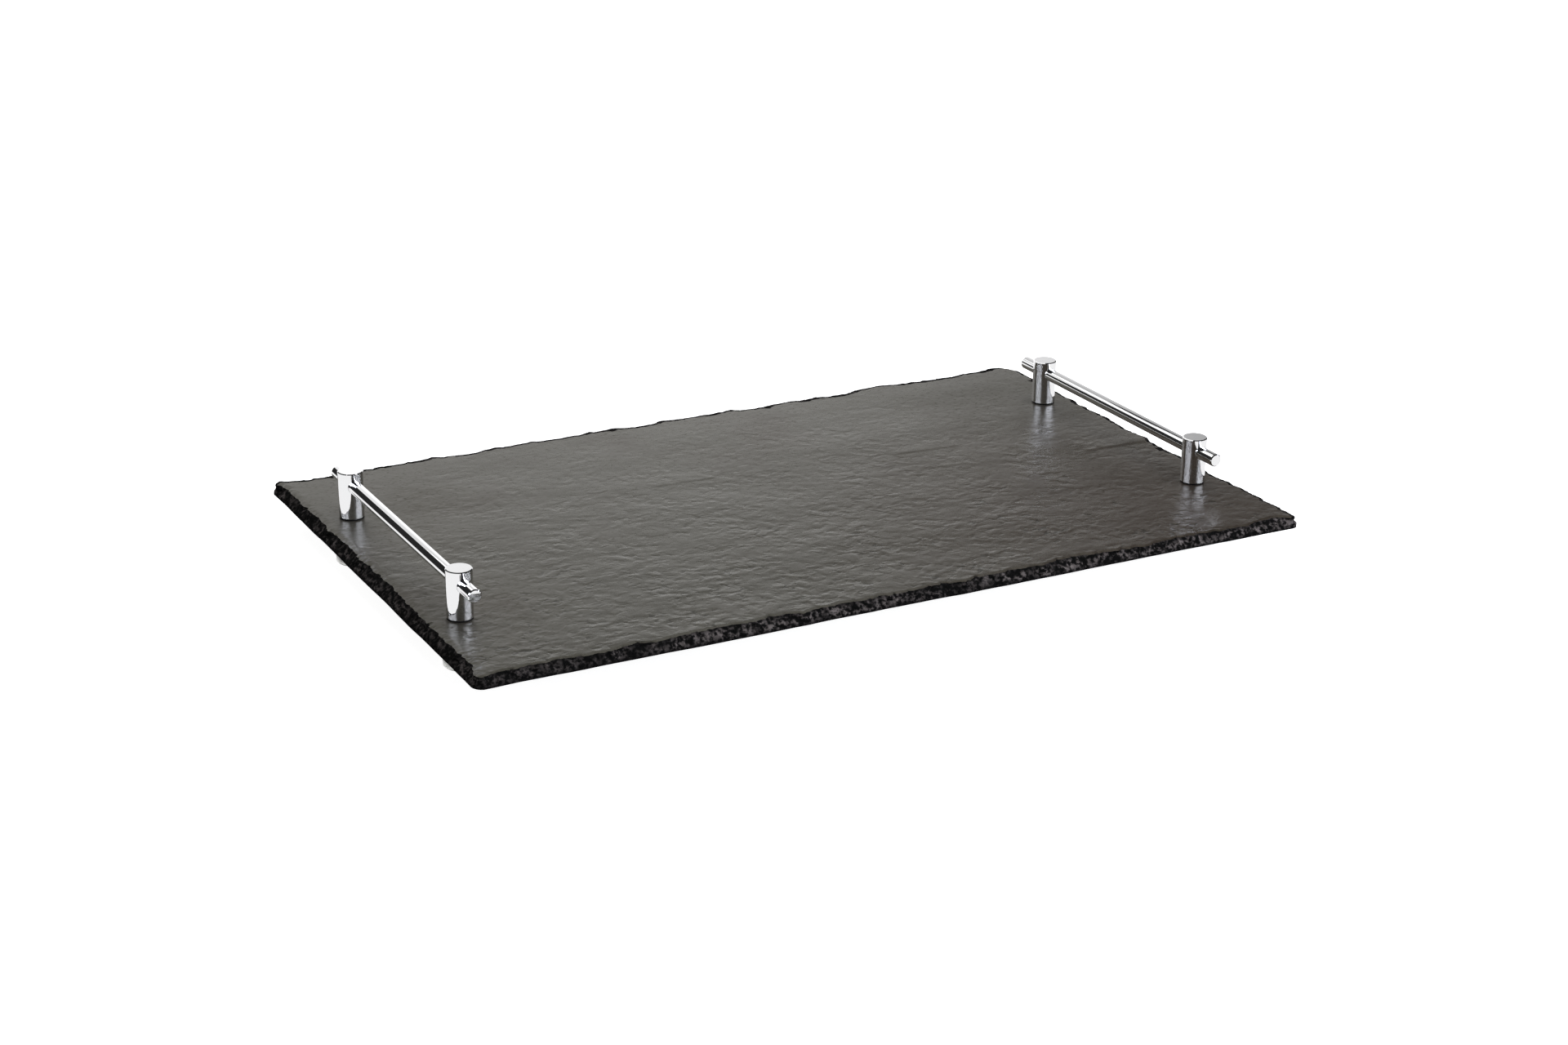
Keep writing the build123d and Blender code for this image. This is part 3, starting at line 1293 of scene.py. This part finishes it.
@dataclass
class ScrewedFoot:
    """One foot with the screw, washer and grub screw that hold foot, plate, post and rail together."""

    side: Side
    end: End
    plastic: Finish = field(default_factory=FootPlastic)
    steel: Finish = field(default_factory=PlainSteel)

    def dress(self) -> list[Piece]:
        """Gives the foot and its fixings their finishes.

        Returns:
            These pieces.
        """
        station = f"{self.side.value}_{self.end.value}"
        fixings = [wear(f"{station}_{name}", self.steel) for name in ("washer", "screw", "grub_screw")]
        return [wear(f"{station}_foot", self.plastic), *fixings]


@dataclass(frozen=True)
class Softbox:
    """A soft lamp, or a bright card that shows only in a mirror, turned to the board."""

    name: str
    place: Place
    size: Span
    brightness: float  # of its cloth, where 1 is white
    shows: Shows
    tint: str = WHITE

    # Between the ray depth of the stone as the eye sees it and that of the stone as the chrome shows it
    DEPTH_BEHIND_CHROME: ClassVar[float] = 1.5

    def hang(self, mirrors: dict[Shows, bpy.types.Collection]) -> None:
        """Hangs the lamp where no camera sees it.

        Args:
            mirrors: the pieces that a card shows in, where it doesn't show in all of them.
        """
        lamp = bpy.data.lights.new(self.name, "AREA")
        lamp.shape = "RECTANGLE"
        lamp.size, lamp.size_y = (length * MM for length in self.size)
        lamp.energy = self.brightness * math.pi * lamp.size * lamp.size_y
        lamp.color = linear(self.tint)[:3]
        holder = bpy.data.objects.new(self.name, lamp)
        holder.location = Vector(self.place) * MM
        holder.rotation_euler = (-holder.location).to_track_quat("-Z", "Y").to_euler()
        holder.visible_camera = False
        holder.visible_diffuse = self.shows is Shows.AS_LIGHT
        holder.visible_glossy = self.shows is not Shows.AS_LIGHT
        if self.shows in mirrors:
            holder.light_linking.receiver_collection = mirrors[self.shows]
        if self.shows is Shows.BY_WAY_OF_CHROME:
            self.hide_from_eye(lamp)
        bpy.context.scene.collection.objects.link(holder)

    def hide_from_eye(self, lamp: bpy.types.AreaLight) -> None:
        """Lets the lamp shine only where the light goes on to the eye by way of another mirror.

        Args:
            lamp: the lamp, which is then reached by lamp sampling alone, as that counts the depth evenly.
        """
        lamp.cycles.use_multiple_importance_sampling = False
        lamp.use_nodes = True
        tree = lamp.node_tree
        tree.nodes.clear()
        depth = add_node(tree, "LightPath").outputs["Ray Depth"]
        behind = add_node(
            tree, "Math", {"operation": "GREATER_THAN", 1: self.DEPTH_BEHIND_CHROME}, {0: depth},
        ).outputs[0]
        shine = add_node(tree, "Emission", links={"Strength": behind}).outputs[0]
        add_node(tree, "OutputLight", links={"Surface": shine})


@dataclass
class Studio:
    """A white studio: floor, soft lamps, bright cards, surroundings and the photograph's camera."""

    COOL: ClassVar[str] = "#EEF3FF"  # tint of the side lamp and cards
    OVERHEAD_SIZE: ClassVar[Span] = (2000, 1800)
    LEFT_PLACE: ClassVar[Place] = (-1750, -60, 650)
    LEFT_SIZE: ClassVar[Span] = (2100, 750)
    RIGHT_PLACE: ClassVar[Place] = (1300, -1190, 650)
    RIGHT_SIZE: ClassVar[Span] = (2300, 750)

    floor_size: float = 9000.0
    floor_white: str = "#C4C4C4"
    floor_glow: float = 0.92  # of the floor, as the eye sees it
    ambient: float = 0.3  # of the surroundings, as light
    room_level: float = 0.02  # of the room round the white sheet, as a mirror sees it
    sheet_level: float = 0.93  # of the sheet's flat part, as a mirror sees it
    sheet_left: float = -410.0
    sheet_right: float = 1500.0
    sheet_back: float = 1020.0  # where the sheet turns up behind the board
    sheet_top: float = 880.0
    sheet_blend: float = 60.0  # over which its left edge fades
    upright_level: float = 1.3  # of the sheet's upright part at its foot
    upright_fades: tuple[Fade, ...] = (  # of that brightness: to the right, and up the sheet
        Fade("X", 450.0, 1250.0, 1.0, 0.4),
        Fade("Z", 200.0, 900.0, 1.0, 0.35),
    )
    # A card beside a lamp hangs a little nearer, because the lamp would hide it
    softboxes: tuple[Softbox, ...] = (
        Softbox("overhead_softbox", (100, 450, 1500), OVERHEAD_SIZE, 2.6, Shows.AS_LIGHT),
        Softbox("overhead_card", (98, 441, 1470), OVERHEAD_SIZE, 0.95, Shows.IN_GLOSS),
        Softbox("upper_card", (-130, 990, 730), (460, 320), 0.75, Shows.IN_GLOSS),
        Softbox("left_card", LEFT_PLACE, LEFT_SIZE, 4.0, Shows.IN_CHROME, COOL),
        Softbox("left_card_in_stone", LEFT_PLACE, LEFT_SIZE, 8.5, Shows.BY_WAY_OF_CHROME, COOL),
        Softbox("right_card_in_stone", RIGHT_PLACE, RIGHT_SIZE, 13.0, Shows.BY_WAY_OF_CHROME, COOL),
        Softbox("right_card", (1280, -1172, 640), RIGHT_SIZE, 6.0, Shows.IN_CHROME, COOL),
        Softbox("right_softbox", RIGHT_PLACE, RIGHT_SIZE, 6.0, Shows.AS_LIGHT, COOL),
    )
    camera_place: Place = (-763.61, -1413.91, 637.26)
    camera_azimuth: float = -28.436
    camera_elevation: float = 21.245
    camera_roll: float = 0.874
    lens: float = 65.58
    sensor: float = 36.0

    def build_world(self) -> None:
        """Makes the surroundings white to the eye, a dark room to a mirror, and an even fill as light."""
        world = bpy.data.worlds.new("white_studio")
        world.use_nodes = True
        tree = world.node_tree
        tree.nodes.clear()
        path = add_node(tree, "LightPath")
        room = self.room_level
        levels = {"Is Camera Ray": 1.0, "Is Glossy Ray": room, "Is Transmission Ray": room}
        strength = add_node(tree, "Value").outputs[0]
        strength.default_value = self.ambient
        for kind, level in levels.items():
            strength = add_node(
                tree, "Mix", {"data_type": "FLOAT", LEVEL_B: level},
                {0: path.outputs[kind], LEVEL_A: strength},
            ).outputs[0]
        back = add_node(tree, "Background", {"Color": linear(WHITE)}, {"Strength": strength}).outputs[0]
        add_node(tree, "OutputWorld", links={"Surface": back})
        bpy.context.scene.world = world

    def lay(self, name: str, corners: list[Place]) -> Piece:
        """Adds one flat stretch of the white sheet.

        Args:
            name: the object's name.
            corners: its four corners in millimetres.

        Returns:
            The object, with an empty material of the same name.
        """
        mesh = bpy.data.meshes.new(name)
        mesh.from_pydata([[length * MM for length in corner] for corner in corners], [], [(0, 1, 2, 3)])
        sheet = bpy.data.objects.new(name, mesh)
        bpy.context.scene.collection.objects.link(sheet)
        paper = bpy.data.materials.new(name)
        paper.use_nodes = True
        paper.node_tree.nodes.clear()
        mesh.materials.append(paper)
        return sheet

    def build_floor(self) -> None:
        """Lays a white floor that keeps a faint shadow; a mirror sees it up to the sheet's left edge."""
        half = self.floor_size / 2
        corners = [(-half, -half, 0), (half, -half, 0), (half, half, 0), (-half, half, 0)]
        floor = self.lay("studio_floor", corners)
        tree = floor.active_material.node_tree
        path = add_node(tree, "LightPath")
        seen = add_node(
            tree, "Math", {"operation": "MAXIMUM"},
            {0: path.outputs["Is Camera Ray"], 1: path.outputs["Is Transmission Ray"]},
        ).outputs[0]
        glow = add_node(tree, "Math", {"operation": "MULTIPLY", 1: self.floor_glow}, {0: seen}).outputs[0]
        shine = add_node(tree, "Emission", {"Color": linear(WHITE)}, {"Strength": glow}).outputs[0]
        matt = add_node(tree, "BsdfDiffuse", {"Color": linear(self.floor_white)}).outputs[0]
        lit = add_node(tree, "AddShader", links={0: matt, 1: shine}).outputs[0]
        place = add_node(tree, "TexCoord").outputs["Object"]
        across = add_node(tree, "SeparateXYZ", links={0: place}).outputs["X"]
        level = add_node(
            tree, "MapRange",
            {
                "From Min": (self.sheet_left - self.sheet_blend) * MM,
                "From Max": self.sheet_left * MM,
                "To Min": self.room_level,
                "To Max": self.sheet_level,
            },
            {"Value": across},
        ).outputs[0]
        mirrored = add_node(tree, "Emission", {"Color": linear(WHITE)}, {"Strength": level}).outputs[0]
        both = add_node(
            tree, "MixShader", links={0: path.outputs["Is Glossy Ray"], 1: lit, 2: mirrored},
        ).outputs[0]
        add_node(tree, "OutputMaterial", links={"Surface": both})

    def build_upright(self) -> None:
        """Stands the white sheet up behind the board, where only gloss and metal see it."""
        left, right, back, top = self.sheet_left, self.sheet_right, self.sheet_back, self.sheet_top
        corners = [(left, back, 0), (right, back, 0), (right, back, top), (left, back, top)]
        upright = self.lay("sheet_upright", corners)
        tree = upright.active_material.node_tree
        place = add_node(tree, "TexCoord").outputs["Object"]
        level = add_node(tree, "Value").outputs[0]
        level.default_value = self.upright_level
        for fade in self.upright_fades:
            level = fade.scale(tree, place, level)
        shine = add_node(tree, "Emission", {"Color": linear(WHITE)}, {"Strength": level}).outputs[0]
        add_node(tree, "OutputMaterial", links={"Surface": shine})
        upright.visible_camera = False
        upright.visible_diffuse = False
        upright.visible_transmission = False
        upright.visible_shadow = False

    def build_camera(self) -> None:
        """Stands the camera where the photograph was taken from."""
        azimuth, elevation, roll = map(
            math.radians, (self.camera_azimuth, self.camera_elevation, self.camera_roll)
        )
        back = Vector((
            math.sin(azimuth) * math.cos(elevation),
            -math.cos(azimuth) * math.cos(elevation),
            math.sin(elevation),
        ))
        level = Vector((0, 0, 1)).cross(back).normalized()
        rising = back.cross(level)
        right = math.cos(roll) * level + math.sin(roll) * rising
        up = math.cos(roll) * rising - math.sin(roll) * level
        data = bpy.data.cameras.new("photograph_camera")
        data.sensor_fit = "HORIZONTAL"
        data.sensor_width = self.sensor
        data.lens = self.lens
        camera = bpy.data.objects.new("photograph_camera", data)
        turn = Matrix((right, up, back)).transposed().to_4x4()
        camera.matrix_world = Matrix.Translation(Vector(self.camera_place) * MM) @ turn
        bpy.context.scene.collection.objects.link(camera)
        bpy.context.scene.camera = camera

    def build(self, chromed: list[Piece], stone: Piece) -> None:
        """Sets up the whole studio.

        Args:
            chromed: the pieces that wear chrome.
            stone: the slate plate.
        """
        mirrors = {}
        for shows, pieces in ((Shows.IN_CHROME, chromed), (Shows.BY_WAY_OF_CHROME, [stone])):
            mirrors[shows] = bpy.data.collections.new(shows.name.lower())
            for piece in pieces:
                mirrors[shows].objects.link(piece)
        bpy.context.scene.view_settings.view_transform = "Standard"
        self.build_world()
        self.build_floor()
        self.build_upright()
        for softbox in self.softboxes:
            softbox.hang(mirrors)
        self.build_camera()


def main() -> None:
    """Builds and dresses the board, then its studio."""
    logging.basicConfig(level=logging.INFO, format="%(name)s: %(message)s")
    plate = SlatePlate().build()
    pieces = [plate]
    for side in Side:
        pieces += BarHandle(side).dress()
        for end in End:
            pieces += ScrewedFoot(side, end).dress()
    for piece in pieces:
        log.info("%s wears %s", piece.name, ", ".join(slot.name for slot in piece.data.materials))
    chromed = [piece for piece in pieces if piece.active_material.name == PolishedChrome.name]
    Studio().build(chromed, plate)


if __name__ == "__main__":
    main()
